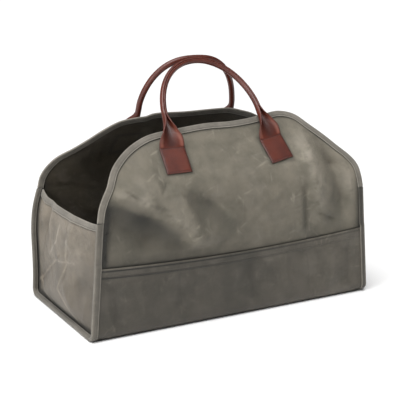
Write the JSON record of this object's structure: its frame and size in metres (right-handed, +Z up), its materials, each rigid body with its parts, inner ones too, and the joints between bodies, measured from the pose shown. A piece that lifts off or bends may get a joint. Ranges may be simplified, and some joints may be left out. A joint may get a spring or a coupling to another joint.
{
  "type": "canvas log carrier",
  "caption": "Open-topped carrier of heavy cloth for carrying firewood, with bound seams, end gussets, and rolled leather handles on flat stitched tabs.",
  "frame": {"origin": "middle of the underside of the base, on the surface that the bag stands on", "axes": "+X along the bag, -Y out of the front, +Z up"},
  "size_m": [0.5896, 0.3025, 0.4613],
  "materials": {
    "waxed_canvas": "grey-green waxed cotton canvas with rubbed, lighter creases",
    "binding_tape": "grey cotton twill tape, folded and stitched",
    "handle_leather": "smooth reddish brown leather, slightly glossy"
  },
  "bodies": {
    "root": {"base_panel": "waxed_canvas", "front_panel": "waxed_canvas", "back_panel": "waxed_canvas", "left_gusset": "waxed_canvas", "right_gusset": "waxed_canvas", "front_edge_binding": "binding_tape", "back_edge_binding": "binding_tape", "left_gusset_binding": "binding_tape", "right_gusset_binding": "binding_tape", "left_seam_binding": "binding_tape", "right_seam_binding": "binding_tape", "front_handle": "handle_leather", "back_handle": "handle_leather"}
  },
  "joints": []
}
